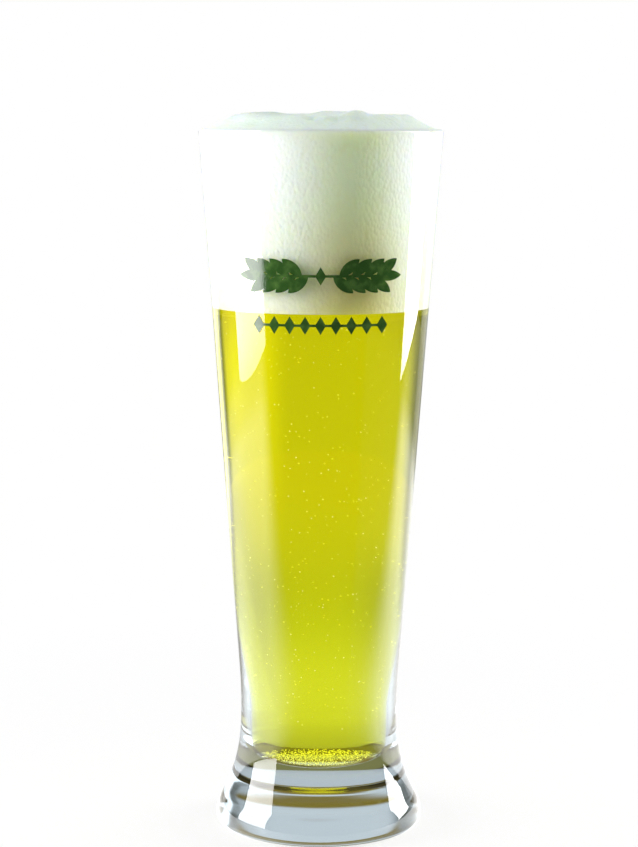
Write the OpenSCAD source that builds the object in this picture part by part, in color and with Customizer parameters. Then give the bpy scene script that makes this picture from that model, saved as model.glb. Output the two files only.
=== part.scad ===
// Tall footed beer glass, filled with pale beer and topped with foam.
// Millimetres. Z is up along the glass's axis, the origin is the centre of the foot
// on the table, and the print faces -Y.

/* [Glass] */
// Height from the table to the rim
glass_h = 200; // [140:1:300]
// Outside diameter at the rim
rim_d = 69; // [55:0.5:110]
// Outside diameter at the waist, the narrowest place
waist_d = 45.2; // [36:0.2:60]
// Height of the waist above the table
waist_z = 35; // [28:0.5:45]
// Height at which the straight taper of the wall begins
taper_z = 45; // [40:0.5:90]
// Height of the joint where the bowl is fused to the foot
seam_z = 15; // [12:0.5:17]

/* [Foot] */
// Outside diameter of the foot
foot_d = 59.4; // [50:0.2:100]
// Radius of the foot's edge below its widest place
edge_round = 2.5; // [1:0.1:4.5]
// Radius of the foot's side above its widest place
edge_swell = 12; // [4:0.5:14]
// Lean of the foot's flare where it runs into the swell, in degrees from upright
edge_lean = 29; // [15:1:35]
// Diameter of the shallow hollow under the foot
punt_d = 44; // [20:0.5:48]
// Depth of the shallow hollow under the foot
punt_depth = 1.2; // [0.5:0.1:6]

/* [Hollow] */
// Height of the hollow's floor above the table
floor_z = 18.5; // [18:0.5:24]
// Radius of the corner between the hollow's floor and its wall
floor_round = 4.5; // [1:0.5:7]
// Thickness of the wall at the lip
lip_wall = 1.8; // [1:0.1:3]
// Thickness of the wall at the waist
waist_wall = 8; // [4:0.1:12]
// How late the wall thickens on its way down from the lip, as a power of that way
wall_power = 2.5; // [1:0.1:4]

/* [Drink] */
// Height of the beer's surface above the table
beer_z = 150; // [80:1:190]
// Height of the foam's level top above the rim
crown_h = 5; // [1:0.5:15]
// Diameter of the foam's level top
crown_d = 49; // [20:1:64]

/* [Print] */
// Thickness of the fired enamel print
print_t = 0.15; // [0.05:0.01:0.3]
// Height of the barley ears above the table
barley_z = 160.5; // [100:0.5:185]
// Length of one barley grain
grain_l = 7.2; // [3:0.1:9]
// Width of one barley grain
grain_w = 3; // [1:0.1:4]
// Lean of the grains away from their stem, in degrees
grain_lean = 40; // [15:1:60]
// Distance from one pair of grains to the next
grain_pitch = 3.4; // [2:0.1:6]
// Pairs of grains on each ear
grain_pairs = 4; // [2:1:6]
// Width of the stem, and of the line that joins the lozenges
stem_w = 0.7; // [0.3:0.1:1.5]
// Height of the row of lozenges above the table
lozenge_z = 147; // [90:0.5:180]
// Width of one lozenge
lozenge_w = 3; // [1:0.1:5]
// Height of one lozenge
lozenge_h = 5; // [2:0.1:8]
// Distance from one lozenge to the next
lozenge_pitch = 4.2; // [2:0.1:6]
// Lozenges on each side of the middle one
lozenge_pairs = 4; // [1:1:5]

/* [Hidden] */
$fn = 96;
// How far a cutting shape runs past what it cuts
overrun = 1;
// Straight steps in the curved parts of an outline
arc_steps = 10;
wall_steps = 24;

rim_r = rim_d / 2;
waist_r = waist_d / 2;
foot_r = foot_d / 2;
punt_r = punt_d / 2;

// The foot's swell above its rounded edge, and the place where the flared side runs into it
swell_mid_r = foot_r - edge_swell;
edge_r = swell_mid_r + edge_swell * cos(edge_lean);
edge_z = edge_round + edge_swell * sin(edge_lean);
// The flare is a power curve that leaves the waist upright and meets the swell at its lean
flare_power = tan(edge_lean) * (waist_z - edge_z) / (edge_r - waist_r);
// The lip is a half round on the end of the wall
lip_round = lip_wall / 2;
lip_z = glass_h - lip_round;
lip_mid_r = rim_r - lip_round;
// The wall eases from upright at the waist to this slope, and is straight from taper_z to the lip
wall_slope = (rim_r - waist_r) / (lip_z - (taper_z + waist_z) / 2);
// Sphere that cuts the hollow under the foot
punt_ball_r = (punt_r * punt_r + punt_depth * punt_depth) / (2 * punt_depth);
hollow_r = waist_r - waist_wall;
// Circles whose overlap is one barley grain
grain_arc_r = (grain_l * grain_l + grain_w * grain_w) / (4 * grain_w);
// From the middle of the print to the end of an ear's stem
ear_l = lozenge_pitch + grain_pairs * grain_pitch;
// Enough height of wall for the ears, above and below their stems
barley_reach = grain_l + grain_w;

// Radius of the outside at a height
function outer_r(z) =
    z > taper_z ? rim_r - wall_slope * (lip_z - z)
    : z > waist_z ? waist_r + wall_slope * pow(z - waist_z, 2) / (2 * (taper_z - waist_z))
    : waist_r + (edge_r - waist_r) * pow((waist_z - z) / (waist_z - edge_z), flare_power);

// Thickness of the wall at a height above the waist
function wall_at(z) =
    lip_wall + (waist_wall - lip_wall) * pow((lip_z - z) / (lip_z - waist_z), wall_power);

// Radius of the hollow at a height
function inner_r(z) = z > waist_z ? outer_r(z) - wall_at(z) : hollow_r;

// Heights from low to high in equal steps
function steps(low, high, count) = [for (i = [0 : count]) low + (high - low) * i / count];

// Points of an arc, counterclockwise from one angle to another
function arc(mid, radius, from, to) =
    [for (a = steps(from, to, arc_steps)) mid + radius * [cos(a), sin(a)]];

function outer_points(heights) = [for (z = heights) [outer_r(z), z]];
function inner_points(heights) = [for (z = heights) [inner_r(z), z]];
function reversed(list) = [for (i = [len(list) - 1 : -1 : 0]) list[i]];
// A list without its first point, which the stretch before it already has
function rest(list) = [for (i = [1 : len(list) - 1]) list[i]];

// Heights at which the hollow's wall has a point, from the waist up to just under the lip
function wall_heights() = [for (i = [0 : wall_steps - 1]) waist_z + (lip_z - waist_z) * i / wall_steps];

// The corner of the hollow's floor, from the floor up to its wall
function floor_corner() =
    arc([hollow_r - floor_round, floor_z + floor_round], floor_round, 270, 360);

// The inner side of the lip, from the top of the rim down into the hollow
function lip_inside() = arc([lip_mid_r, lip_z], lip_round, 90, 180);

// Tapered vessel with a thick lower wall and a rounded lip
module bowl() {
    outside = concat(
        outer_points(steps(seam_z, waist_z, arc_steps)),
        rest(outer_points(steps(waist_z, taper_z, arc_steps))),
        arc([lip_mid_r, lip_z], lip_round, 0, 90)
    );
    inside = concat(
        rest(lip_inside()),
        reversed(inner_points(wall_heights())),
        reversed(floor_corner())
    );
    color([0.86, 0.91, 0.92, 0.35])
    rotate_extrude()
    polygon(concat([[0, seam_z]], outside, inside, [[0, floor_z]]));
}

// Solid flared foot with a swollen, rounded edge and a shallow hollow under it
module foot() {
    side = outer_points(reversed(steps(edge_z, seam_z, arc_steps)));
    swell = arc([swell_mid_r, edge_round], edge_swell, edge_lean, 0);
    edge = arc([foot_r - edge_round, edge_round], edge_round, 0, -90);
    color([0.74, 0.81, 0.84, 0.45])
    difference() {
        rotate_extrude()
        polygon(concat([[0, seam_z]], side, rest(swell), rest(edge), [[0, 0]]));
        translate([0, 0, punt_depth - punt_ball_r])
        sphere(punt_ball_r);
    }
}

// Beer that fills the hollow up to its surface
module beer() {
    wall = inner_points([for (z = wall_heights()) if (z < beer_z) z]);
    surface = [[inner_r(beer_z), beer_z], [0, beer_z]];
    color([0.80, 0.76, 0.02, 0.8])
    rotate_extrude()
    polygon(concat([[0, floor_z]], floor_corner(), wall, surface));
}

// Foam from the beer's surface to the lip, with a sloped and levelled crown above the rim
module foam_head() {
    wall = inner_points([for (z = wall_heights()) if (z > beer_z) z]);
    crown = [[crown_d / 2, glass_h + crown_h], [0, glass_h + crown_h]];
    color([0.95, 0.96, 0.90])
    rotate_extrude()
    polygon(concat(
        [[0, beer_z], [inner_r(beer_z), beer_z]],
        wall,
        reversed(lip_inside()),
        crown
    ));
}

// Thin skin on the straight wall between two heights, cut to a flat pattern facing -Y
module printed(low, high) {
    intersection() {
        rotate_extrude()
        polygon([
            [outer_r(low), low],
            [outer_r(low) + print_t, low],
            [outer_r(high) + print_t, high],
            [outer_r(high), high]
        ]);
        rotate([90, 0, 0])
        linear_extrude(rim_r + overrun)
        children();
    }
}

// One barley grain, lying along X with a tip at the origin
module grain() {
    translate([grain_l / 2, 0])
    intersection() {
        translate([0, grain_arc_r - grain_w / 2]) circle(grain_arc_r);
        translate([0, grain_w / 2 - grain_arc_r]) circle(grain_arc_r);
    }
}

// One ear of barley along X, with grains that alternate along its stem and one at its end
module ear() {
    for (i = [0 : grain_pairs - 1])
        for (side = [1, -1])
            translate([lozenge_pitch + (i + side / 4) * grain_pitch, 0])
            rotate(side * grain_lean)
            grain();
    translate([ear_l - grain_w, 0]) grain();
}

module lozenge() {
    polygon([[lozenge_w / 2, 0], [0, lozenge_h / 2], [-lozenge_w / 2, 0], [0, -lozenge_h / 2]]);
}

// Two ears of barley that lie end to end, with a lozenge between them
module barley_print() {
    color([0.16, 0.33, 0.12])
    printed(barley_z - barley_reach, barley_z + barley_reach)
    translate([0, barley_z]) {
        translate([-ear_l, -stem_w / 2]) square([2 * ear_l, stem_w]);
        ear();
        mirror([1, 0]) ear();
        lozenge();
    }
}

// Row of lozenges on a thin line
module lozenge_print() {
    row_l = 2 * lozenge_pairs * lozenge_pitch;
    color([0.16, 0.33, 0.12])
    printed(lozenge_z - lozenge_h, lozenge_z + lozenge_h)
    translate([0, lozenge_z]) {
        translate([-row_l / 2, -stem_w / 2]) square([row_l, stem_w]);
        for (i = [-lozenge_pairs : lozenge_pairs])
            translate([i * lozenge_pitch, 0])
            lozenge();
    }
}

bowl();
foot();
beer();
foam_head();
barley_print();
lozenge_print();
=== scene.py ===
import math
import random

import bpy
from bpy.props import FloatProperty, FloatVectorProperty, IntProperty, PointerProperty
from mathutils import Matrix, Vector


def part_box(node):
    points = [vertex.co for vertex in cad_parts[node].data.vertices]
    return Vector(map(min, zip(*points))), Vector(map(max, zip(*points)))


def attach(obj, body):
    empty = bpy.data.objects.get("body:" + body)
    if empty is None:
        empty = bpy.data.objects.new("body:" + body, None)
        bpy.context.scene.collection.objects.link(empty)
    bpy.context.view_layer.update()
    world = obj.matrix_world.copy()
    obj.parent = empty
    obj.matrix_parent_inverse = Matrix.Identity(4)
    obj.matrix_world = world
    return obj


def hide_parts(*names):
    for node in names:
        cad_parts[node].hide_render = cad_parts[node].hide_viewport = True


bl_info = {
    "name": "Footed beer glass",
    "version": (1, 0, 0),
    "blender": (4, 5, 0),
    "location": "View3D > Sidebar > Beer glass",
    "description": "Builds a tapered beer glass on a flared foot, with its drink and print",
    "category": "Object",
}

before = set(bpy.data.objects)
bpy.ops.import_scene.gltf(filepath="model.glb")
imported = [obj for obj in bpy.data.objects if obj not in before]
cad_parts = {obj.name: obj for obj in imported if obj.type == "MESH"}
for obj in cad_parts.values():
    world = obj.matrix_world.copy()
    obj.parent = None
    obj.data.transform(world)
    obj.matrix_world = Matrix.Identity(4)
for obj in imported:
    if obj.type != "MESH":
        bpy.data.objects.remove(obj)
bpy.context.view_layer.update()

BOWL_LOW, BOWL_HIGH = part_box("bowl")
FOOT_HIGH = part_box("foot")[1]
BEER_LOW, BEER_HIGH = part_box("beer")
FOAM_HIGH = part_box("foam_head")[1]
# How far the foam's lumps rise above its level top
CROWN_LUMPS = 0.0012
# Less than any distance that can be seen
HAIR = 0.00001
# How close two points of a turned piece are to count as one
MERGE = 0.000002
# Edges of a turned piece that bend less than this are shaded as round
ROUND_EDGE = math.radians(40)

GLASS_IOR = 1.52
BEER_IOR = 1.34
BLACK = (0, 0, 0, 1)
WHITE = (1, 1, 1, 1)


def length(name, description, default):
    return FloatProperty(
        name=name, description=description, default=default, min=0, unit="LENGTH", precision=5
    )


def degrees(name, description, default):
    return FloatProperty(
        name=name, description=description, default=math.radians(default), subtype="ANGLE"
    )


def number(name, description, default):
    return FloatProperty(name=name, description=description, default=default)


def whole(name, description, default):
    return IntProperty(name=name, description=description, default=default)


def colour(name, description, default):
    return FloatVectorProperty(
        name=name, description=description, default=default, min=0, max=1, subtype="COLOR"
    )


class GlassSizes(bpy.types.PropertyGroup):
    """Sizes of the glass itself."""

    height: length("Height", "From the table to the rim", BOWL_HIGH.z)
    rim_radius: length("Rim radius", "Outside radius at the rim", BOWL_HIGH.x)
    waist_radius: length("Waist radius", "Outside radius at the narrowest place", 0.0226)
    waist_height: length("Waist height", "Height of the narrowest place", 0.035)
    taper_height: length("Taper height", "Height at which the straight taper begins", 0.045)
    seam_height: length("Seam height", "Height at which the bowl is fused to the foot", BOWL_LOW.z)
    foot_radius: length("Foot radius", "Outside radius of the foot", FOOT_HIGH.x)
    edge_round: length("Edge rounding", "Radius of the foot's edge below its widest place", 0.0025)
    edge_swell: length("Edge swell", "Radius of the foot's side above its widest place", 0.012)
    edge_lean: degrees("Edge lean", "Lean of the foot's flare where it runs into the swell", 29)
    punt_radius: length("Punt radius", "Radius of the shallow hollow under the foot", 0.022)
    punt_depth: length("Punt depth", "Depth of the shallow hollow under the foot", 0.0012)
    floor_height: length("Floor height", "Height of the hollow's floor", BEER_LOW.z)
    floor_round: length("Floor rounding", "Radius of the hollow's lower corner", 0.0045)
    lip_wall: length("Lip wall", "Thickness of the wall at the lip", 0.0018)
    waist_wall: length("Waist wall", "Thickness of the wall at the waist", 0.008)
    wall_power: number("Wall power", "How late the wall thickens downwards", 2.5)
    segments: whole("Segments", "Steps of the turned pieces round the axis", 192)


class DrinkSizes(bpy.types.PropertyGroup):
    """Sizes of the beer, its bubbles and its foam."""

    surface_height: length("Surface height", "Height of the beer's surface", BEER_HIGH.z)
    crown_height: length(
        "Crown height", "Height of the foam's level top, under its lumps", FOAM_HIGH.z - CROWN_LUMPS
    )
    crown_radius: length("Crown radius", "Radius of the foam's level top", 0.0245)
    wall_gap: length("Wall gap", "Film between the glass and what it holds", 0.00005)
    rising_bubbles: whole("Rising bubbles", "Bubbles on their way up", 640)
    floor_bubbles: whole("Floor bubbles", "Bubbles on the hollow's floor", 1600)
    bubble_radius: length("Bubble radius", "Radius of a middling bubble", 0.00016)


class Finishes(bpy.types.PropertyGroup):
    """Colours of the finishes."""

    bowl_tint: colour("Bowl tint", "Tint of the clear bowl", (0.985, 0.99, 0.99))
    # The wall's and foot's tints are deeper than the glass's own: partly tint, partly painted shade
    wall_tint_and_painted_shade: colour("Wall tint", "Tint of the thick lower wall", (0.80, 0.92, 0.97))
    foot_tint_and_painted_shade: colour("Foot tint", "Tint of the thick foot", (0.62, 0.73, 0.81))
    beer_tint: colour("Beer tint", "Colour of light that the beer lets through", (0.983, 0.973, 0.12))
    beer_depth: number("Beer depth", "How fast the beer takes up light, per metre", 150)
    # The bubbles' colours are painted glows that stand in for glints
    rising_painted_glint: colour("Rising bubble", "Colour of the bubbles on their way up", (0.95, 0.93, 0.22))
    floor_painted_glint: colour("Floor bubble", "Colour of the bubbles on the floor", (0.95, 0.92, 0.4))
    foam_crown: colour("Foam crown", "Colour of the foam above the rim", (0.80, 0.926, 0.865))
    # The ridge colour is painted shade on the crown's upper left
    foam_ridge_painted_shade: colour("Foam ridge", "Colour of the crown's left ridge", (0.66, 0.77, 0.72))
    foam_pale: colour("Foam", "Colour of the upper foam", (0.89, 0.965, 0.92))
    # The upper foam's middle colour is painted shade
    foam_painted_shade: colour("Foam middle", "Colour of the upper foam's middle", (0.85, 0.975, 0.70))
    foam_low: colour("Low foam", "Colour of the foam that is soaked with beer", (0.82, 0.87, 0.68))
    # The soaked foam's middle colour is painted shade
    low_foam_painted_shade: colour("Low foam middle", "Colour of the soaked foam's middle", (0.72, 0.68, 0.27))
    enamel: colour("Enamel", "Colour of the fired print", (0.03, 0.085, 0.016))
    enamel_worn: colour("Thin enamel", "Colour where the print is thin", (0.075, 0.16, 0.035))


class StudioSizes(bpy.types.PropertyGroup):
    """Places and levels of the camera and the lights."""

    camera_distance: length("Camera distance", "From the glass's axis to the camera", 0.658)
    camera_height: length("Camera height", "Height of the camera", 0.2)
    camera_left: length("Camera left", "How far the camera stands to the left", 0.0003)
    camera_tilt: degrees("Camera tilt", "How far the camera looks down", 7.24)
    camera_roll: degrees("Camera roll", "Roll of the camera", 0.21)
    lens: number("Lens", "Focal length in millimetres", 98.5)
    room_level: number("Room level", "Light of the room on matt surfaces", 0.2)


class Value:
    """One number in a node tree; arithmetic on it adds Math nodes."""

    def __init__(self, nodes, socket):
        self.nodes = nodes
        self.socket = socket

    def math(self, operation, first, second):
        node = self.nodes.node("ShaderNodeMath", {"operation": operation}, {0: first, 1: second})
        return Value(self.nodes, node.outputs[0])

    def __add__(self, other):
        return self.math("ADD", self, other)

    def __radd__(self, other):
        return self.math("ADD", other, self)

    def __sub__(self, other):
        return self.math("SUBTRACT", self, other)

    def __rsub__(self, other):
        return self.math("SUBTRACT", other, self)

    def __mul__(self, other):
        return self.math("MULTIPLY", self, other)

    def __rmul__(self, other):
        return self.math("MULTIPLY", other, self)

    def __truediv__(self, other):
        return self.math("DIVIDE", self, other)

    def __pow__(self, other):
        return self.math("POWER", self, other)

    def at_most(self, other):
        return self.math("MINIMUM", self, other)

    def at_least(self, other):
        return self.math("MAXIMUM", self, other)


class Nodes:
    """The node tree of one finish."""

    def __init__(self, owner):
        owner.use_nodes = True
        self.tree = owner.node_tree
        self.tree.nodes.clear()

    def node(self, kind, settings, sockets):
        """Adds a node, makes its settings, and then gives its sockets their values or links."""
        node = self.tree.nodes.new(kind)
        for name, value in settings.items():
            setattr(node, name, value)
        for name, value in sockets.items():
            if isinstance(value, Value):
                value = value.socket
            if isinstance(value, bpy.types.NodeSocket):
                self.tree.links.new(value, node.inputs[name])
            else:
                node.inputs[name].default_value = value
        return node

    def value(self, kind, settings, sockets, output=0):
        return Value(self, self.node(kind, settings, sockets).outputs[output])

    def place(self):
        """The place on the piece, in metres from the glass's origin."""
        return self.node("ShaderNodeTexCoord", {}, {}).outputs["Object"]

    def axis(self, vector, index):
        """One of a vector's three numbers."""
        return self.value("ShaderNodeSeparateXYZ", {}, {"Vector": vector}, index)

    def eased(self, value, low, high, level=1):
        """A value that eases from 0 at low to its level at high."""
        return self.value(
            "ShaderNodeMapRange",
            {"interpolation_type": "SMOOTHSTEP"},
            {"Value": value, "From Min": low, "From Max": high, "To Max": level},
        )

    def blend(self, share, first, second):
        """A colour between two colours."""
        sockets = {"Factor": share, 6: first, 7: second}
        return self.node("ShaderNodeMix", {"data_type": "RGBA"}, sockets).outputs[2]

    def surface(self, shader):
        return self.node("ShaderNodeOutputMaterial", {}, {"Surface": shader.outputs[0]})

    def principled(self, sockets):
        """Makes the surface a Principled one."""
        return self.surface(self.node("ShaderNodeBsdfPrincipled", {}, sockets))


def opaque(shade):
    """A colour with full alpha."""
    return (*shade, 1)


def clear_glass(name, finishes, sizes, ripple, glow):
    """Polished glass with the ripple of pressing, tinted where thick, the tint deepened there as
    painted shade, and with a painted gold glow that stands in for light caught in it.
    """
    material = bpy.data.materials.new(name)
    nodes = Nodes(material)
    place = nodes.place()
    height = nodes.axis(place, 2)
    wall = nodes.eased(height, 0.5 * sizes.waist_height, sizes.waist_height)
    thin = nodes.eased(height, 1.5 * sizes.waist_height, 3 * sizes.waist_height)
    # Tint of the thick glass, deepened there as painted shade
    thick = nodes.blend(wall, opaque(finishes.foot_tint_and_painted_shade), opaque(finishes.wall_tint_and_painted_shade))
    waves = nodes.value(
        "ShaderNodeTexNoise", {}, {"Vector": place, "Scale": 38.0, "Detail": 2.0, "Roughness": 0.4}
    )
    bump = nodes.node("ShaderNodeBump", {}, {"Strength": 1.0, "Distance": ripple, "Height": waves})
    nodes.principled(
        {
            "Base Color": nodes.blend(thin, thick, opaque(finishes.bowl_tint)),
            "Roughness": 0.0,
            "IOR": GLASS_IOR,
            "Transmission Weight": 1.0,
            # A painted gold glow, used in the foot, stands in for light caught in the glass
            "Emission Color": (1, 0.8, 0.3, 1),
            "Emission Strength": glow,
            "Normal": bump.outputs[0],
        }
    )
    material.cycles.emission_sampling = "NONE"
    return material


def wet_glass():
    """The inside of the wall, where the glass meets the drink, with a painted yellow glow low down that
    brightens the beer there.
    """
    material = bpy.data.materials.new("wet_glass")
    nodes = Nodes(material)
    # Heights over which the painted glow fades out
    painted_glow_top = (0.045, 0.065)
    low = 1 - nodes.eased(nodes.axis(nodes.place(), 2), *painted_glow_top)
    nodes.principled(
        {
            "Base Color": WHITE,
            "Roughness": 0.0,
            "IOR": GLASS_IOR / BEER_IOR,
            "Transmission Weight": 1.0,
            "Emission Color": nodes.blend(low, BLACK, (1, 0.75, 0.1, 1)),
            "Emission Strength": 0.03,
        }
    )
    return material


def fused_seam():
    """The place where bowl and foot are one glass, with no surface to see."""
    material = bpy.data.materials.new("fused_seam")
    nodes = Nodes(material)
    nodes.principled({"Alpha": 0.0, "Roughness": 1.0})
    return material


def clear_beer(finishes):
    """Filtered beer: no haze, and a yellow that deepens with the way through it."""
    material = bpy.data.materials.new("clear_beer")
    nodes = Nodes(material)
    output = nodes.principled(
        {"Base Color": WHITE, "Roughness": 0.0, "IOR": 1.0, "Transmission Weight": 1.0}
    )
    sockets = {"Color": opaque(finishes.beer_tint), "Density": finishes.beer_depth}
    body = nodes.node("ShaderNodeVolumeAbsorption", {}, sockets)
    nodes.tree.links.new(body.outputs[0], output.inputs["Volume"])
    return material


def beer_bubble(name, glow, painted_glint):
    """Gas in the beer, with a painted glow that stands in for the glints of light on it."""
    material = bpy.data.materials.new(name)
    nodes = Nodes(material)
    nodes.principled(
        {
            "Base Color": (0.4, 0.4, 0.15, 1),
            "Roughness": 0.2,
            # The emission is a painted glow
            "Emission Color": opaque(glow),
            "Emission Strength": painted_glint,
        }
    )
    return material


class FoamPlaces:
    """Where the foam's colour changes, in metres."""

    # Height above the beer over which the foam dries
    soaked = 0.045
    # From left to right, where the painted shade of the middle begins and ends
    painted_shade_start = (-0.010, 0.008)
    painted_shade_end = (0.012, 0.025)
    # From the rim up, where the crown and the painted shade on its ridge begin
    crown = (-0.0015, 0.0005)
    ridge_painted_shade = (0.0022, 0.0045)
    # To the left, where the ridge's painted shade begins
    ridge_painted_shade_side = (0.002, 0.016)


def beer_foam(finishes, drink, rim):
    """Fine froth, yellower next to the beer, with the relief of its bubbles and light that soaks in;
    its middle and the crown's upper left are darkened by painted shade, and its underside has a painted
    glow.
    """
    material = bpy.data.materials.new("beer_foam")
    nodes = Nodes(material)
    place = nodes.place()
    across, height = nodes.axis(place, 0), nodes.axis(place, 2)
    drawn = nodes.node(
        "ShaderNodeMapping", {"vector_type": "POINT"}, {"Vector": place, "Scale": (1.0, 1.0, 0.7)}
    ).outputs[0]
    cells = nodes.value(
        "ShaderNodeTexVoronoi",
        {"feature": "SMOOTH_F1"},
        {"Vector": drawn, "Scale": 1000.0, "Smoothness": 0.4},
    )
    patches = nodes.value("ShaderNodeTexNoise", {}, {"Vector": drawn, "Scale": 300.0, "Detail": 3.0})
    seams = nodes.eased(cells, 0.3, 0.8) * nodes.eased(patches, 0.35, 0.65)
    dry_height = drink.surface_height + FoamPlaces.soaked
    fine = nodes.eased(height, drink.surface_height, dry_height) * (1 - seams * 0.15)
    # The foam's middle is darker and greener: painted shade
    middle = nodes.eased(across, *FoamPlaces.painted_shade_start)
    middle = middle * (1 - nodes.eased(across, *FoamPlaces.painted_shade_end))
    crown = nodes.eased(height - rim, *FoamPlaces.crown)
    # The crown's top is darker on the left: painted shade
    ridge_painted_shade = nodes.eased(height - rim, *FoamPlaces.ridge_painted_shade)
    ridge_painted_shade = ridge_painted_shade * nodes.eased(0 - across, *FoamPlaces.ridge_painted_shade_side)
    low = nodes.blend(middle, opaque(finishes.foam_low), opaque(finishes.low_foam_painted_shade))
    painted_shade = middle * (1 - crown)
    high = nodes.blend(painted_shade, opaque(finishes.foam_pale), opaque(finishes.foam_painted_shade))
    high = nodes.blend(crown, high, opaque(finishes.foam_crown))
    high = nodes.blend(ridge_painted_shade, high, opaque(finishes.foam_ridge_painted_shade))
    relief = patches * 0.4 - cells * 0.7
    # The underside glows: a painted glow for light from below
    normal = nodes.node("ShaderNodeNewGeometry", {}, {}).outputs["Normal"]
    underside_painted_glow = nodes.eased(0 - nodes.axis(normal, 2), 0.5, 0.8)
    bump = nodes.node("ShaderNodeBump", {}, {"Strength": 0.5, "Distance": 0.0005, "Height": relief})
    nodes.principled(
        {
            "Base Color": nodes.blend(fine, low, high),
            "Roughness": 0.55,
            "Subsurface Weight": 0.7,
            "Subsurface Radius": (0.85, 1.0, 0.3),
            "Subsurface Scale": 0.012,
            "Emission Color": nodes.blend(underside_painted_glow, BLACK, (0.8, 0.85, 0.6, 1)),
            "Emission Strength": 1.0,
            "Normal": bump.outputs[0],
        }
    )
    return material


def fired_enamel(finishes):
    """Screen-printed enamel, a little thinner in places."""
    material = bpy.data.materials.new("fired_enamel")
    nodes = Nodes(material)
    place = nodes.place()
    patches = nodes.value("ShaderNodeTexNoise", {}, {"Vector": place, "Scale": 420.0, "Detail": 3.0})
    grain = nodes.value("ShaderNodeTexNoise", {}, {"Vector": place, "Scale": 2600.0, "Detail": 2.0})
    thin = nodes.eased(patches, 0.42, 0.75)
    shade = nodes.blend(thin, opaque(finishes.enamel), opaque(finishes.enamel_worn))
    bump = nodes.node("ShaderNodeBump", {}, {"Strength": 0.5, "Distance": 0.00005, "Height": grain})
    nodes.principled(
        {
            "Base Color": shade,
            "Roughness": 0.04 + grain * 0.12,
            "Normal": bump.outputs[0],
        }
    )
    return material


class GlassOutline:
    """The glass's outline, as radii at heights."""

    def __init__(self, sizes):
        self.sizes = sizes
        self.lip_round = sizes.lip_wall / 2
        self.lip_height = sizes.height - self.lip_round
        self.lip_mid = sizes.rim_radius - self.lip_round
        self.swell_mid = sizes.foot_radius - sizes.edge_swell
        self.edge_radius = self.swell_mid + sizes.edge_swell * math.cos(sizes.edge_lean)
        self.edge_height = sizes.edge_round + sizes.edge_swell * math.sin(sizes.edge_lean)
        self.flare_power = (
            math.tan(sizes.edge_lean)
            * (sizes.waist_height - self.edge_height)
            / (self.edge_radius - sizes.waist_radius)
        )
        middle = (sizes.taper_height + sizes.waist_height) / 2
        self.slope = (sizes.rim_radius - sizes.waist_radius) / (self.lip_height - middle)
        self.hollow_radius = sizes.waist_radius - sizes.waist_wall
        self.corner_mid = (
            self.hollow_radius - sizes.floor_round,
            sizes.floor_height + sizes.floor_round,
        )

    def outer(self, height):
        sizes = self.sizes
        if height > sizes.taper_height:
            return sizes.rim_radius - self.slope * (self.lip_height - height)
        if height > sizes.waist_height:
            ease = (height - sizes.waist_height) ** 2 / (2 * (sizes.taper_height - sizes.waist_height))
            return sizes.waist_radius + self.slope * ease
        share = (sizes.waist_height - height) / (sizes.waist_height - self.edge_height)
        return sizes.waist_radius + (self.edge_radius - sizes.waist_radius) * share**self.flare_power

    def inner(self, height):
        sizes = self.sizes
        if height <= sizes.waist_height:
            return self.hollow_radius
        share = (self.lip_height - height) / (self.lip_height - sizes.waist_height)
        wall = sizes.lip_wall + (sizes.waist_wall - sizes.lip_wall) * share**sizes.wall_power
        return self.outer(height) - wall

    def outside(self, low, high, count):
        return [(self.outer(height), height) for height in spread(low, high, count)]

    def inside(self, low, high, gap, count):
        """The hollow's wall, drawn in by a gap."""
        return [(self.inner(height) - gap, height) for height in spread(low, high, count)]

    def floor(self, gap):
        """From the middle of the floor out and up to the wall, drawn in by a gap."""
        corner = arc(self.corner_mid, self.sizes.floor_round - gap, -90, 0, count=12)
        return [(0, self.sizes.floor_height + gap), *corner]

    def lip(self, start, end, gap, count):
        return arc((self.lip_mid, self.lip_height), self.lip_round + gap, start, end, count)


def spread(low, high, count):
    """Numbers from low to high in equal steps, both ends included."""
    return [low + (high - low) * i / count for i in range(count + 1)]


def arc(mid, radius, start, end, count):
    """Points of an arc between two angles in degrees."""
    angles = [math.radians(a) for a in spread(start, end, count)]
    return [(mid[0] + radius * math.cos(a), mid[1] + radius * math.sin(a)) for a in angles]


def turned(name, outline, segments):
    """Draws an outline of radii and heights point by point and spins it about the glass's axis."""
    bpy.ops.object.select_all(action="DESELECT")
    radius, height = outline[0]
    bpy.ops.mesh.primitive_plane_add(size=0.001, location=(radius, 0, height))
    piece = bpy.context.object
    piece.name = piece.data.name = name
    bpy.ops.object.mode_set(mode="EDIT")
    bpy.ops.mesh.merge(type="CENTER")
    for start, end in zip(outline, outline[1:]):
        step = (end[0] - start[0], 0, end[1] - start[1])
        bpy.ops.mesh.extrude_vertices_move(TRANSFORM_OT_translate={"value": step})
    bpy.ops.mesh.select_all(action="SELECT")
    bpy.ops.mesh.spin(
        steps=segments, angle=math.tau, use_auto_merge=True, center=(0, 0, 0), axis=(0, 0, 1)
    )
    bpy.ops.mesh.select_all(action="SELECT")
    bpy.ops.mesh.remove_doubles(threshold=MERGE)
    bpy.ops.mesh.normals_make_consistent(inside=False)
    bpy.ops.object.mode_set(mode="OBJECT")
    bpy.ops.object.transform_apply(location=True, rotation=True, scale=True)
    bpy.ops.object.shade_smooth_by_angle(angle=ROUND_EDGE)
    return piece


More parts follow.
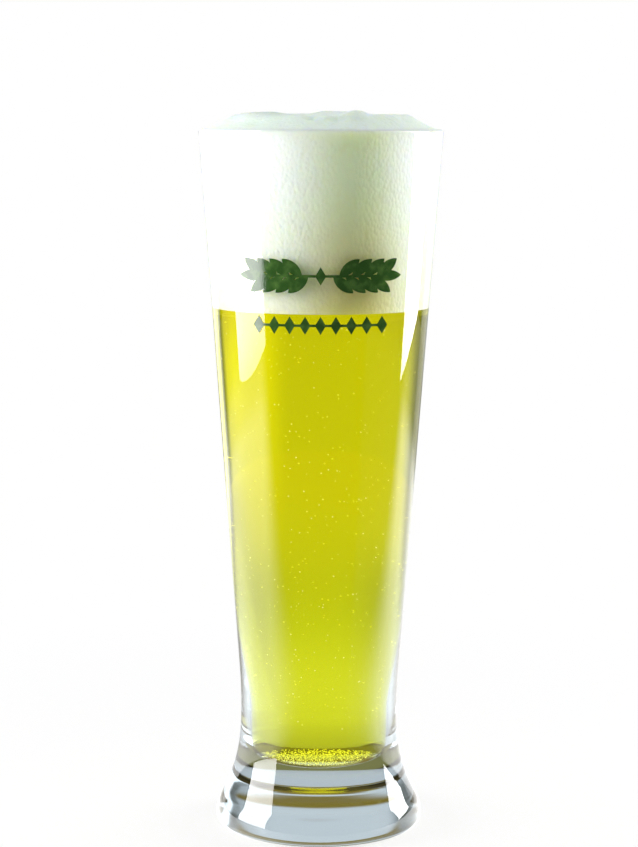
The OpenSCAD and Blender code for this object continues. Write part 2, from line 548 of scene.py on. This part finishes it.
def finish_faces(piece, material, test):
    """Gives the faces whose middle passes the test a finish of their own."""
    bpy.ops.object.select_all(action="DESELECT")
    piece.select_set(True)
    bpy.context.view_layer.objects.active = piece
    piece.data.materials.append(material)
    bpy.context.tool_settings.mesh_select_mode = (False, False, True)
    for face in piece.data.polygons:
        face.select = test(face.center)
    bpy.ops.object.mode_set(mode="EDIT")
    piece.active_material_index = len(piece.data.materials) - 1
    bpy.ops.object.material_slot_assign()
    bpy.ops.object.mode_set(mode="OBJECT")
    bpy.context.tool_settings.mesh_select_mode = (True, False, False)


def settings():
    return bpy.context.scene.beer_glass


class BEERGLASS_OT_bowl(bpy.types.Operator):
    """Turn the tapered bowl with its thick lower wall and rounded lip"""

    bl_idname = "beerglass.bowl"
    bl_label = "Bowl"

    def execute(self, context):
        sizes = settings().glass
        shape = GlassOutline(sizes)
        outline = [
            (0, sizes.seam_height),
            *shape.outside(sizes.seam_height, sizes.waist_height, count=16),
            *shape.outside(sizes.waist_height, sizes.taper_height, count=12)[1:],
            *shape.outside(sizes.taper_height, shape.lip_height, count=24)[1:],
            *shape.lip(0, 180, gap=0, count=16)[1:-1],
            *shape.inside(sizes.waist_height, shape.lip_height, gap=0, count=48)[::-1],
            *shape.floor(gap=0)[::-1],
        ]
        bowl = turned("bowl_glass", outline, sizes.segments)
        glass = clear_glass("bowl_glass", settings().finishes, sizes, ripple=0.00004, glow=0)
        bowl.data.materials.append(glass)
        finish_faces(
            bowl,
            wet_glass(),
            lambda middle: sizes.seam_height + HAIR < middle.z < shape.lip_height
            and middle.xy.length < shape.inner(middle.z) + sizes.lip_wall / 2,
        )
        finish_faces(bowl, fused_seam(), lambda middle: middle.z < sizes.seam_height + HAIR)
        bowl.visible_shadow = False
        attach(bowl, "root")
        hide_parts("bowl")
        return {"FINISHED"}


class BEERGLASS_OT_foot(bpy.types.Operator):
    """Turn the solid flared foot with its rounded edge and shallow punt"""

    bl_idname = "beerglass.foot"
    bl_label = "Foot"

    def execute(self, context):
        sizes = settings().glass
        shape = GlassOutline(sizes)
        side = shape.outside(sizes.seam_height, shape.edge_height, count=16)
        lean = math.degrees(sizes.edge_lean)
        swell_mid = (shape.swell_mid, sizes.edge_round)
        swell = arc(swell_mid, sizes.edge_swell, lean, 0, count=12)[1:]
        edge_mid = (sizes.foot_radius - sizes.edge_round, sizes.edge_round)
        edge = arc(edge_mid, sizes.edge_round, 0, -90, count=14)[1:]
        ball = (sizes.punt_radius**2 + sizes.punt_depth**2) / (2 * sizes.punt_depth)
        opening = 90 - math.degrees(math.asin(sizes.punt_radius / ball))
        punt = arc((0, sizes.punt_depth - ball), ball, opening, 90, count=16)
        outline = [(0, sizes.seam_height), *side, *swell, *edge, *punt]
        foot = turned("foot_glass", outline, sizes.segments)
        # The foot gets a faint painted gold glow
        glass = clear_glass("foot_glass", settings().finishes, sizes, ripple=0.00006, glow=0.018)
        foot.data.materials.append(glass)
        finish_faces(
            foot,
            bpy.data.materials["fused_seam"],
            lambda middle: middle.z > sizes.seam_height - HAIR,
        )
        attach(foot, "root")
        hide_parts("foot")
        return {"FINISHED"}


class BEERGLASS_OT_beer(bpy.types.Operator):
    """Turn the beer that fills the hollow up to its surface"""

    bl_idname = "beerglass.beer"
    bl_label = "Beer"

    def execute(self, context):
        sizes = settings().glass
        drink = settings().drink
        shape = GlassOutline(sizes)
        gap = drink.wall_gap
        top = drink.surface_height - gap
        wall = shape.inside(sizes.waist_height, top, gap, count=40)
        outline = [*shape.floor(gap), *wall, (0, top)]
        beer = turned("beer_fill", outline, sizes.segments)
        beer.data.materials.append(clear_beer(settings().finishes))
        beer.visible_shadow = False
        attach(beer, "root")
        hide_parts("beer")
        return {"FINISHED"}


class BEERGLASS_OT_foam(bpy.types.Operator):
    """Turn the foam head and push its crown into soft folds"""

    bl_idname = "beerglass.foam"
    bl_label = "Foam head"

    # Where the foam leaves the lip's round, in degrees, and how its slope bends up to the crown
    lip_end = 25
    slope_power = 1.2
    # Folds are pushed only higher than this above the rim
    fold_start = 0.001
    # Height above the rim over which the lumps grow, and their names, sizes and strengths
    lump_rise = 0.003
    lumps = (("crown_swell", 0.012, 0.0016), ("crown_froth", 0.0035, 0.0005))
    # Pushes on the crown: place from the axis, how far up, and how wide
    folds = (
        ((-0.0026, -0.0252), -0.0014, 0.0030),
        ((0.0040, -0.0258), -0.0010, 0.0028),
        ((0.0090, -0.0200), 0.0014, 0.0060),
        ((0.0080, -0.0080), 0.0008, 0.0090),
        ((-0.0140, -0.0140), 0.0006, 0.0100),
        ((0.0040, 0.0140), 0.0010, 0.0120),
        ((-0.0160, 0.0100), -0.0012, 0.0100),
        ((-0.0180, -0.0215), -0.0006, 0.0040),
    )

    def execute(self, context):
        sizes = settings().glass
        drink = settings().drink
        shape = GlassOutline(sizes)
        gap = drink.wall_gap
        low = drink.surface_height
        wall = shape.inside(low, shape.lip_height, gap, count=40)
        lip = shape.lip(180, self.lip_end, gap, count=16)[1:]
        radius, height = lip[-1]
        slope = [
            (
                radius + (drink.crown_radius - radius) * share,
                height + (drink.crown_height - height) * share**self.slope_power,
            )
            for share in spread(0, 1, count=16)[1:]
        ]
        top = [(away, drink.crown_height) for away in spread(drink.crown_radius, 0, count=22)[1:]]
        foam = turned("foam_crown", [(0, low), *wall, *lip, *slope, *top], sizes.segments)
        self.fold(foam, sizes.height + self.fold_start)
        self.roughen(foam, sizes.height)
        foam.data.materials.append(beer_foam(settings().finishes, drink, sizes.height))
        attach(foam, "root")
        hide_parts("foam_head")
        return {"FINISHED"}

    def fold(self, foam, low):
        """Pushes the crown up or down around each fold's nearest point."""
        for place, push, reach in self.folds:
            nearest = min(
                (v for v in foam.data.vertices if v.co.z > low),
                key=lambda v: (v.co.xy - Vector(place)).length,
            ).index
            bpy.context.tool_settings.mesh_select_mode = (True, False, False)
            bpy.ops.object.mode_set(mode="EDIT")
            bpy.ops.mesh.select_all(action="DESELECT")
            bpy.ops.object.mode_set(mode="OBJECT")
            foam.data.vertices[nearest].select = True
            bpy.ops.object.mode_set(mode="EDIT")
            bpy.ops.transform.translate(
                value=(0, 0, push),
                use_proportional_edit=True,
                proportional_edit_falloff="SMOOTH",
                proportional_size=reach,
            )
            bpy.ops.object.mode_set(mode="OBJECT")

    def roughen(self, foam, low):
        """Gives the crown small soft lumps, and leaves the wall as the glass holds it."""
        crown = foam.vertex_groups.new(name="crown")
        for vertex in foam.data.vertices:
            if vertex.co.z > low:
                share = min(1, (vertex.co.z - low) / self.lump_rise)
                crown.add([vertex.index], share, "REPLACE")
        for name, size, push in self.lumps:
            texture = bpy.data.textures.new(name, "CLOUDS")
            texture.noise_scale = size
            texture.noise_depth = 2
            lumps = foam.modifiers.new(name, "DISPLACE")
            lumps.texture = texture
            lumps.texture_coords = "LOCAL"
            lumps.vertex_group = "crown"
            lumps.strength = push
            lumps.mid_level = 0.55
            bpy.ops.object.modifier_apply(modifier=name)


class BEERGLASS_OT_bubbles(bpy.types.Operator):
    """Model one bubble and copy it up through the beer and over the hollow's floor"""

    bl_idname = "beerglass.bubbles"
    bl_label = "Bubbles"

    seed = 11
    # Least and largest bubble, as shares of the bubble's radius
    rising_sizes = (0.5, 1.3)
    resting_sizes = (0.4, 1.0)
    # Rising bubbles start this high over the floor and end this low under the surface
    over_floor = 0.012
    under_surface = 0.002
    # Free space between a bubble and the wall, and between a bubble and the floor
    wall_gap = 0.0004
    floor_gap = 0.0001
    # Share of the rising bubbles that keep to the wall, and how far in they reach
    wall_share = 0.6
    wall_depth = 0.12
    # Share of the hollow's radius that the resting bubbles cover
    floor_share = 0.8

    def execute(self, context):
        finishes = settings().finishes
        chance = random.Random(self.seed)
        # The bubbles shine by a painted glow, stronger on the floor
        rising = beer_bubble("rising_bubble", finishes.rising_painted_glint, painted_glint=0.6)
        self.scatter("rising_bubbles", self.rising(chance), rising)
        resting = beer_bubble("floor_bubble", finishes.floor_painted_glint, painted_glint=0.9)
        self.scatter("floor_bubbles", self.resting(chance), resting)
        return {"FINISHED"}

    def around(self, chance, away, height):
        """A place at a distance from the axis, on any side of it."""
        turn = chance.uniform(0, math.tau)
        return (away * math.cos(turn), away * math.sin(turn), height)

    def rising(self, chance):
        """Places and radii of the bubbles on their way up."""
        sizes = settings().glass
        drink = settings().drink
        shape = GlassOutline(sizes)
        low = sizes.floor_height + self.over_floor
        high = drink.surface_height - self.under_surface
        places = []
        for _ in range(drink.rising_bubbles):
            radius = drink.bubble_radius * chance.uniform(*self.rising_sizes)
            height = chance.uniform(low, high)
            reach = shape.inner(height) - self.wall_gap - radius
            if chance.random() < self.wall_share:
                away = reach * (1 - self.wall_depth * chance.random())
            else:
                away = reach * math.sqrt(chance.random())
            places.append((self.around(chance, away, height), radius))
        return places

    def resting(self, chance):
        """Places and radii of the bubbles on the hollow's floor."""
        sizes = settings().glass
        drink = settings().drink
        shape = GlassOutline(sizes)
        places = []
        for _ in range(drink.floor_bubbles):
            radius = drink.bubble_radius * chance.uniform(*self.resting_sizes)
            away = self.floor_share * shape.hollow_radius * math.sqrt(chance.random())
            climb = max(0, away - shape.corner_mid[0])
            drop = math.sqrt((sizes.floor_round - radius - self.floor_gap) ** 2 - climb**2)
            places.append((self.around(chance, away, shape.corner_mid[1] - drop), radius))
        return places

    def scatter(self, name, places, material):
        """Models one bubble, copies it to its places and joins the copies."""
        bpy.ops.object.select_all(action="DESELECT")
        bpy.ops.mesh.primitive_uv_sphere_add(segments=8, ring_count=5, radius=1, location=(0, 0, 0))
        bead = bpy.context.object
        bpy.ops.object.mode_set(mode="EDIT")
        bpy.ops.mesh.select_all(action="SELECT")
        bpy.ops.transform.resize(value=(1, 1, 0.94), center_override=(0, 0, 0))
        bpy.ops.object.mode_set(mode="OBJECT")
        bpy.ops.object.shade_smooth()
        copies = []
        for place, radius in places:
            copy = bead.copy()
            copy.data = bead.data.copy()
            copy.data.transform(Matrix.Translation(place) @ Matrix.Scale(radius, 4))
            bpy.context.scene.collection.objects.link(copy)
            copies.append(copy)
        bpy.data.objects.remove(bead)
        for copy in copies:
            copy.select_set(True)
        bpy.context.view_layer.objects.active = copies[0]
        bpy.ops.object.join()
        bubbles = bpy.context.object
        bubbles.name = bubbles.data.name = name
        bubbles.data.materials.append(material)
        bubbles.visible_shadow = False
        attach(bubbles, "root")


class BEERGLASS_OT_print(bpy.types.Operator):
    """Give the barley and lozenge print its fired enamel"""

    bl_idname = "beerglass.print"
    bl_label = "Print"

    def execute(self, context):
        enamel = fired_enamel(settings().finishes)
        for name in ("barley_print", "lozenge_print"):
            print_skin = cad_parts[name]
            for slot in print_skin.material_slots:
                slot.material = enamel
        return {"FINISHED"}


# In the next three classes, a row has a start, an end and, if it isn't 1, the level at the end
class Backdrop:
    """The white backdrop, as the glass shows it, in parts of a level direction."""

    # Upright ends of the backdrop, as cosines of their angles from straight behind
    ends = (math.cos(math.radians(46)), math.cos(math.radians(38)))
    # Level where the backdrop doesn't reach, and where it sets in
    dim = 0.2
    behind = (-0.1, 0.3)
    # How it fades to the left and, in part, to the right
    left_fade = (0.53, 0.73)
    right_fade = (0.34, 0.7, 0.45)
    # A darker upright strip on the right
    strip_start = (0.63, 0.72)
    strip_end = (0.74, 0.79)
    strip_share = 0.7
    # Glow on the right, once wide and once close to the horizon
    wide_glow = (0.13, 0.3, 0.29)
    close_glow = (0.35, 0.55, 0.35)
    close_power = 3
    # Light from the front and the sides, across squared for both sides at once
    front = (0.3, 0.8, 0.45)
    sides = (0.87, 0.97, 0.4)
    right_side = (0.77, 0.82, 1.4)
    # Light in the gloss of the glass's left and right edge
    left_edge = (0.22, 0.42, 1.7)
    right_edge = (0.22, 0.42, 0.4)


class Table:
    """The white table, and how the glass shows it, in metres from the glass's axis."""

    radius = 1.0
    # Just under the foot, and a little to the back
    middle = (0, 0.1, -0.0003)
    colour = (0.85, 0.86, 0.87, 1)
    # Share of plain white that the camera sees, which leaves the foot a faint shadow
    white = 0.8
    white_rise = (0.06, 0.3, 0.2)

    # In the gloss: its least light, and its lit part, behind a line that slants past the glass
    dim = 0.02
    lit = (-0.12, 0.02)
    lit_slant = 0.4
    lit_step = (0, 0.1, 0.04)
    # Plain light, which fades far off
    plain = 0.8
    plain_fade = (0.5, 0.7, 0.8)
    # Directions in which the panels make it shine, the shine by nearness to them, and how that fades
    left_way = (-0.988, -0.156)
    right_way = (0.914, 0.407)
    shine = (0.3, 0.95, 2.2)
    left_fade = (0.49, 0.58, 0.6)
    left_far_fade = (0.62, 0.75, 0.35)
    right_fade = (0.54, 0.68, 0.75)
    # Part of the direction to the back
    right_back_fade = (0.5, 0.75, 0.5)
    # Where the edges' light sets in
    edge = (0.3, 0.6)

    # Through the glass: the ground and how it fades
    ground = 0.88
    ground_fade = (0.15, 0.45, 0.14)
    # Part of the direction to either side, and how far it counts
    aside = (0.05, 0.35, 0.18)
    aside_end = (0.35, 0.65)
    # Where the backdrop's glow sets in
    glow = (0.3, 1.5)
    # Shade under the foot, in the colour of light that went through the beer, and next to it
    gold = (0.86, 0.80, 0.27, 1)
    under_foot = 0.35
    open_air = (0.027, 0.034)
    open_level = 0.47
    open_rise = (0.05, 0.12, 0.18)


class Room:
    """The room around the table, as the glass shows it, mostly in upward parts of a direction."""

    cool = (0.8, 0.92, 1, 1)
    # In the gloss: its least light, and the backdrop without its edges
    dim = 0.02
    back = 0.55
    # Through the glass: the backdrop, and its glow along the horizon
    white = 0.74
    white_rise = (0.15, 0.4, 0.08)
    glow_start = (-0.2, -0.02)
    glow_end = (0.02, 0.06)
    # Painted bands of the beer's gold on the backdrop, one low and one high
    gold = (0.31, 0.21, 0.026, 1)
    gold_start = (-0.05, 0.05)
    gold_end = (0.22, 0.29)
    gold_high = (0.5, 0.58)
    # Least light, more of it towards the front and towards the ceiling
    least = 0.15
    front = (0.2, 0.7, 0.15)
    ceiling = (0.2, 0.6, 0.4)
    # On matt surfaces, how much more light comes from above
    matt_rise = (0.2, 0.9, 1.2)


class BEERGLASS_OT_stage(bpy.types.Operator):
    """Set up the table, the light panels, the room and the camera"""

    bl_idname = "beerglass.stage"
    bl_label = "Stage"

    # Light panels. Angles are degrees, from the front and to the left if negative, distances are from
    # the axis, and the levels are on matt surfaces, in the gloss and through the glass
    panels = (
        dict(
            name="left_panel", angle=-80, roll=0, distance=0.60, middle=0.355,
            width=0.43, tall=0.70, matt=6.5, gloss=12, clear=0.75,
        ),
        dict(
            name="right_panel", angle=105.7, roll=10.5, distance=0.60, middle=0.36,
            width=0.27, tall=0.66, matt=9, gloss=14, clear=1.8,
        ),
    )
    # Level of a panel's gloss at the table, and how it rises above it
    panel_low = 0.65
    panel_rise = (0, 0.035, 0.35)

    def execute(self, context):
        studio = settings().studio
        self.table()
        for panel in self.panels:
            self.panel(**panel)
        self.room()
        data = bpy.data.cameras.new("camera")
        data.lens = studio.lens
        camera = bpy.data.objects.new("camera", data)
        bpy.context.scene.collection.objects.link(camera)
        place = (-studio.camera_left, -studio.camera_distance, studio.camera_height)
        camera.matrix_world = (
            Matrix.Translation(place)
            @ Matrix.Rotation(math.pi / 2 - studio.camera_tilt, 4, "X")
            @ Matrix.Rotation(studio.camera_roll, 4, "Z")
        )
        bpy.context.scene.camera = camera
        bpy.context.scene.view_settings.view_transform = "Standard"
        return {"FINISHED"}

    def rays(self, nodes):
        """Kinds of ray, each 1 or 0.

        They are the rays from the camera, those that the glass mirrors, those that it lets through,
        and those that it lets through after a matt surface.
        """
        path = nodes.node("ShaderNodeLightPath", {}, {})
        camera = Value(nodes, path.outputs["Is Camera Ray"])
        matt = Value(nodes, path.outputs["Diffuse Depth"]).at_most(1)
        through = Value(nodes, path.outputs["Is Transmission Ray"])
        gloss = Value(nodes, path.outputs["Is Glossy Ray"]) * (1 - matt)
        return camera, gloss * (1 - through), gloss * through, matt * through

    def table(self):
        bpy.ops.object.select_all(action="DESELECT")
        bpy.ops.mesh.primitive_circle_add(
            vertices=96, radius=Table.radius, fill_type="NGON", location=Table.middle
        )
        table = bpy.context.object
        table.name = table.data.name = "table"
        bpy.ops.object.transform_apply(location=True, rotation=True, scale=True)
        table.data.materials.append(self.white_table())

    def white_table(self):
        """White to the camera, and otherwise as it shows in the glass's gloss and through the glass."""
        material = bpy.data.materials.new("white_table")
        nodes = Nodes(material)
        camera, mirrored, passed, _ = self.rays(nodes)
        place = nodes.place()
        across, along = nodes.axis(place, 0), nodes.axis(place, 1)
        away = nodes.value("ShaderNodeVectorMath", {"operation": "LENGTH"}, {0: place}, "Value")
        open_air = nodes.eased(away, *Table.open_air)
        shade = Table.under_foot + Table.open_level * open_air + nodes.eased(away, *Table.open_rise)
        tone = nodes.blend(1 - passed * (1 - open_air), Table.gold, WHITE)
        gloss = self.table_gloss(nodes, across, along, away)
        ground = self.table_ground(nodes, across, along, away)
        level = camera + mirrored * gloss + passed * ground * shade
        share = camera * (Table.white + nodes.eased(away, *Table.white_rise)) + mirrored + passed
        matt = nodes.node("ShaderNodeBsdfDiffuse", {}, {"Color": Table.colour})
        white = nodes.node("ShaderNodeEmission", {}, {"Color": tone, "Strength": level})
        sockets = {0: share, 1: matt.outputs[0], 2: white.outputs[0]}
        nodes.surface(nodes.node("ShaderNodeMixShader", {}, sockets))
        return material

    def table_gloss(self, nodes, across, along, away):
        """The table's light in the glass's gloss."""
        line = along - across * Table.lit_slant + nodes.eased(across, *Table.lit_step)
        lit = nodes.eased(line, *Table.lit)
        plain = Table.plain * (1 - nodes.eased(away, *Table.plain_fade))
        left, right = (
            nodes.eased(across * x / away + along * y / away, *Table.shine)
            for x, y in (Table.left_way, Table.right_way)
        )
        left_fade = nodes.eased(away, *Table.left_fade) + nodes.eased(away, *Table.left_far_fade)
        left = left * (1 - left_fade)
        right = right * (1 - nodes.eased(along / away, *Table.right_back_fade))
        right = right * (1 - nodes.eased(away, *Table.right_fade))
        edge = self.edges(nodes, across / away) * nodes.eased(away, *Table.edge)
        edge = edge * nodes.eased(along / away, *Backdrop.ends)
        return Table.dim + edge + lit * (plain + left.at_least(right))

    def table_ground(self, nodes, across, along, away):
        """The table's light through the glass, which goes on into the backdrop."""
        aside = nodes.eased((across * across) ** 0.5 / away, *Table.aside)
        aside = aside * (1 - nodes.eased(away, *Table.aside_end))
        ground = (Table.ground - nodes.eased(away, *Table.ground_fade)) * (1 - aside)
        glow = nodes.eased(away, *Table.glow)
        return self.backdrop(nodes, across / away, along / away, ground, glow)

    def panel(self, name, angle, distance, middle, width, tall, roll, matt, gloss, clear):
        turn = math.radians(angle)
        place = (distance * math.sin(turn), -distance * math.cos(turn), middle)
        bpy.ops.object.select_all(action="DESELECT")
        bpy.ops.mesh.primitive_plane_add(
            size=1, location=place, rotation=(math.pi / 2, -math.radians(roll), turn)
        )
        panel = bpy.context.object
        panel.name = panel.data.name = name
        panel.scale = (width, tall, 1)
        bpy.ops.object.transform_apply(location=True, rotation=True, scale=True)
        material = bpy.data.materials.new(name)
        nodes = Nodes(material)
        _, mirrored, passed, soaked = self.rays(nodes)
        unseen = (1 - (mirrored + passed)) * (1 - soaked)
        fade = self.panel_low + nodes.eased(nodes.axis(nodes.place(), 2), *self.panel_rise)
        level = matt * unseen + mirrored * gloss * fade + passed * clear
        nodes.surface(nodes.node("ShaderNodeEmission", {}, {"Color": WHITE, "Strength": level}))
        panel.data.materials.append(material)
        panel.visible_camera = False

    def edges(self, nodes, across):
        """Light of the backdrop in the gloss of the glass's edges, brighter on the left."""
        left = nodes.eased(0 - across, *Backdrop.left_edge)
        return left + nodes.eased(across, *Backdrop.right_edge)

    def backdrop(self, nodes, across, along, level, glow):
        """Pale behind the glass, with a glow to the right, and dimmer at the sides and in front."""
        left = nodes.eased(0 - across, *Backdrop.left_fade)
        right = nodes.eased(across, *Backdrop.right_fade)
        bright = glow * nodes.eased(across, *Backdrop.wide_glow)
        bright = bright + glow**Backdrop.close_power * nodes.eased(across, *Backdrop.close_glow)
        back = (level - Backdrop.dim) * (1 - left) * (1 - right) + bright
        front = nodes.eased(0 - along, *Backdrop.front)
        sides = nodes.eased(across * across, *Backdrop.sides)
        sides = sides + nodes.eased(across, *Backdrop.right_side)
        strip = nodes.eased(across, *Backdrop.strip_start)
        strip = strip * (1 - nodes.eased(across, *Backdrop.strip_end))
        level = Backdrop.dim + front + sides + nodes.eased(along, *Backdrop.behind) * back
        return level * (1 - Backdrop.strip_share * strip)

    def room(self):
        """A white backdrop behind the glass, and a dim room at its sides and front."""
        world = bpy.data.worlds.new("room")
        bpy.context.scene.world = world
        nodes = Nodes(world)
        camera, mirrored, passed, _ = self.rays(nodes)
        direction = nodes.node("ShaderNodeTexCoord", {}, {}).outputs["Generated"]
        across, along, up = (nodes.axis(direction, index) for index in range(3))
        flat = (across * across + along * along) ** 0.5
        behind = nodes.eased(along / flat, *Backdrop.ends)
        glow = nodes.eased(up, *Room.glow_start) * (1 - nodes.eased(up, *Room.glow_end))
        white = Room.white + nodes.eased(up, *Room.white_rise)
        back = self.backdrop(nodes, across / flat, along / flat, white, glow)
        least = Room.least + nodes.eased(0 - along, *Room.front) + nodes.eased(up, *Room.ceiling)
        edge = Room.back + self.edges(nodes, across / flat)
        seen = mirrored * (Room.dim + behind * edge) + passed * back.at_least(least)
        unseen = (1 - camera) * (1 - mirrored) * (1 - passed)
        shade = nodes.blend(seen.at_most(1), Room.cool, WHITE)
        shade = nodes.blend((camera + unseen).at_most(1), shade, WHITE)
        gold = nodes.eased(up, *Room.gold_start) * (1 - nodes.eased(up, *Room.gold_end))
        gold = gold + nodes.eased(up, *Room.gold_high)
        shade = nodes.blend(passed * behind * gold, shade, Room.gold)
        matt = settings().studio.room_level * (1 + nodes.eased(up, *Room.matt_rise))
        level = camera + seen + unseen * matt
        background = nodes.node("ShaderNodeBackground", {}, {"Color": shade, "Strength": level})
        nodes.node("ShaderNodeOutputWorld", {}, {"Surface": background.outputs[0]})
        world.cycles.sampling_method = "NONE"


class BeerGlassSettings(bpy.types.PropertyGroup):
    """Everything that the panel shows."""

    glass: PointerProperty(type=GlassSizes)
    drink: PointerProperty(type=DrinkSizes)
    finishes: PointerProperty(type=Finishes)
    studio: PointerProperty(type=StudioSizes)


OPERATORS = (
    BEERGLASS_OT_bowl,
    BEERGLASS_OT_foot,
    BEERGLASS_OT_beer,
    BEERGLASS_OT_foam,
    BEERGLASS_OT_bubbles,
    BEERGLASS_OT_print,
    BEERGLASS_OT_stage,
)


class BEERGLASS_PT_panel(bpy.types.Panel):
    """Sizes, colours and pieces of the beer glass"""

    bl_idname = "BEERGLASS_PT_panel"
    bl_label = "Beer glass"
    bl_space_type = "VIEW_3D"
    bl_region_type = "UI"
    bl_category = "Beer glass"

    def draw(self, context):
        for group in (settings().glass, settings().drink, settings().finishes, settings().studio):
            box = self.layout.box()
            for name in group.__annotations__:
                box.prop(group, name)
        for operator in OPERATORS:
            self.layout.operator(operator.bl_idname)


CLASSES = (
    GlassSizes,
    DrinkSizes,
    Finishes,
    StudioSizes,
    BeerGlassSettings,
    *OPERATORS,
    BEERGLASS_PT_panel,
)


def register():
    for cls in CLASSES:
        bpy.utils.register_class(cls)
    bpy.types.Scene.beer_glass = PointerProperty(type=BeerGlassSettings)


def unregister():
    del bpy.types.Scene.beer_glass
    for cls in reversed(CLASSES):
        bpy.utils.unregister_class(cls)


def main():
    register()
    bpy.ops.beerglass.bowl()
    bpy.ops.beerglass.foot()
    bpy.ops.beerglass.beer()
    bpy.ops.beerglass.foam()
    bpy.ops.beerglass.bubbles()
    bpy.ops.beerglass.print()
    bpy.ops.beerglass.stage()


if __name__ == "__main__":
    main()
